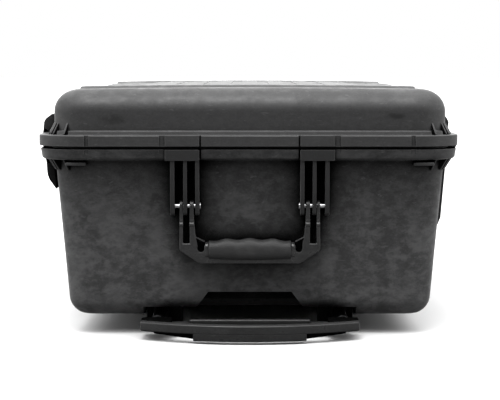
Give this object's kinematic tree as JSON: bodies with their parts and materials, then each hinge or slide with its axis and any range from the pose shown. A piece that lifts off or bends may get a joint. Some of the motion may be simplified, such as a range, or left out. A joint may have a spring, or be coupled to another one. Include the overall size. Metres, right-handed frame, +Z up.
{
  "type": "wheeled hard carrying case",
  "caption": "Wheeled hard-shell carrying case with latches, fold-down handles, a pull handle and foam cut out for a drone and its kit.",
  "frame": {"origin": "on the floor under the middle of the whole case, with the pull grip stowed", "axes": "+Z up, +Y along the case from the pull-handle end to the wheel end, latches on the -X side, hinges on the +X side"},
  "size_m": [0.534, 0.844, 0.3125],
  "materials": {
    "shell_black": "moulded plastic with a fine grain, scuffed",
    "latch_black": "satin moulded plastic",
    "handle_black": "satin moulded plastic",
    "grip_rubber": "matt overmoulded rubber",
    "gasket_rubber": "matt sealing rubber",
    "foam": "open-cell foam",
    "steel": "drawn stainless pin",
    "aluminium": "brushed and anodised"
  },
  "bodies": {
    "base": {"base_shell": "shell_black", "base_foam_pad": "foam", "base_foam_insert": "foam", "pressure_valve": "aluminium", "trolley_outer_tube_left": "aluminium", "trolley_outer_tube_right": "aluminium", "trolley_guide_front": "handle_black", "trolley_guide_rear": "handle_black", "end_handle_pin_left": "steel", "end_handle_pin_right": "steel", "front_handle_pin_left": "steel", "front_handle_pin_right": "steel", "hinge_pin_1": "steel", "hinge_pin_2": "steel", "hinge_pin_3": "steel", "wheel_axle_left": "steel", "wheel_axle_right": "steel"},
    "lid": {"lid_shell": "shell_black", "lid_gasket": "gasket_rubber", "lid_foam": "foam", "latch_1_lever_pin": "steel", "latch_2_lever_pin": "steel", "latch_3_lever_pin": "steel", "latch_4_lever_pin": "steel"},
    "end_handle": {"end_handle_frame": "handle_black", "end_handle_grip": "grip_rubber"},
    "front_handle": {"front_handle_frame": "handle_black", "front_handle_grip": "grip_rubber"},
    "pull_handle": {"trolley_grip": "handle_black", "trolley_inner_tube_left": "aluminium", "trolley_inner_tube_right": "aluminium"},
    "release_bar": {"trolley_release_bar": "handle_black"},
    "wheel_left": {"wheel_tyre_left": "grip_rubber", "wheel_hub_left": "handle_black", "wheel_bearing_left": "steel"},
    "wheel_right": {"wheel_tyre_right": "grip_rubber", "wheel_hub_right": "handle_black", "wheel_bearing_right": "steel"},
    "latch_1_lever": {"latch_1_lever": "latch_black", "latch_1_hook_pin": "steel"},
    "latch_1_hook": {"latch_1_hook": "latch_black"},
    "latch_2_lever": {"latch_2_lever": "latch_black", "latch_2_hook_pin": "steel"},
    "latch_2_hook": {"latch_2_hook": "latch_black"},
    "latch_3_lever": {"latch_3_lever": "latch_black", "latch_3_hook_pin": "steel"},
    "latch_3_hook": {"latch_3_hook": "latch_black"},
    "latch_4_lever": {"latch_4_lever": "latch_black", "latch_4_hook_pin": "steel"},
    "latch_4_hook": {"latch_4_hook": "latch_black"}
  },
  "joints": [
    {"name": "lid_hinge", "type": "hinge", "parent": "base", "child": "lid", "pos_m": [0.2615, 0.021, 0.2357], "axis": [0, 1, 0], "range_deg": [0, 100]},
    {"name": "end_handle_swing", "type": "hinge", "parent": "base", "child": "end_handle", "pos_m": [0, -0.368, 0.1644], "axis": [-1, 0, 0], "range_deg": [0, 95]},
    {"name": "front_handle_swing", "type": "hinge", "parent": "base", "child": "front_handle", "pos_m": [-0.2512, 0.021, 0.1644], "axis": [0, 1, 0], "range_deg": [0, 95]},
    {"name": "pull_handle_slide", "type": "slide", "parent": "base", "child": "pull_handle", "axis": [0, -1, 0], "range_m": [0, 0.33]},
    {"name": "release_bar_slide", "type": "slide", "parent": "pull_handle", "child": "release_bar", "axis": [0, -1, 0], "range_m": [0, 0.005], "stiffness_N_per_m": 500, "springref_m": -0.002},
    {"name": "wheel_left_spin", "type": "hinge", "parent": "base", "child": "wheel_left", "pos_m": [-0.192, 0.366, 0.0445], "axis": [1, 0, 0], "continuous": true},
    {"name": "wheel_right_spin", "type": "hinge", "parent": "base", "child": "wheel_right", "pos_m": [0.192, 0.366, 0.0445], "axis": [1, 0, 0], "continuous": true},
    {"name": "latch_1_lever_swing", "type": "hinge", "parent": "lid", "child": "latch_1_lever", "pos_m": [-0.2592, -0.241, 0.262], "axis": [0, 1, 0], "range_deg": [0, 110]},
    {"name": "latch_1_hook_swing", "type": "hinge", "parent": "latch_1_lever", "child": "latch_1_hook", "pos_m": [-0.2589, -0.241, 0.229], "axis": [0, 1, 0], "range_deg": [0, 5]},
    {"name": "latch_2_lever_swing", "type": "hinge", "parent": "lid", "child": "latch_2_lever", "pos_m": [-0.2592, -0.129, 0.262], "axis": [0, 1, 0], "range_deg": [0, 110]},
    {"name": "latch_2_hook_swing", "type": "hinge", "parent": "latch_2_lever", "child": "latch_2_hook", "pos_m": [-0.2589, -0.129, 0.229], "axis": [0, 1, 0], "range_deg": [0, 5]},
    {"name": "latch_3_lever_swing", "type": "hinge", "parent": "lid", "child": "latch_3_lever", "pos_m": [-0.2592, 0.171, 0.262], "axis": [0, 1, 0], "range_deg": [0, 110]},
    {"name": "latch_3_hook_swing", "type": "hinge", "parent": "latch_3_lever", "child": "latch_3_hook", "pos_m": [-0.2589, 0.171, 0.229], "axis": [0, 1, 0], "range_deg": [0, 5]},
    {"name": "latch_4_lever_swing", "type": "hinge", "parent": "lid", "child": "latch_4_lever", "pos_m": [-0.2592, 0.283, 0.262], "axis": [0, 1, 0], "range_deg": [0, 110]},
    {"name": "latch_4_hook_swing", "type": "hinge", "parent": "latch_4_lever", "child": "latch_4_hook", "pos_m": [-0.2589, 0.283, 0.229], "axis": [0, 1, 0], "range_deg": [0, 5]}
  ]
}
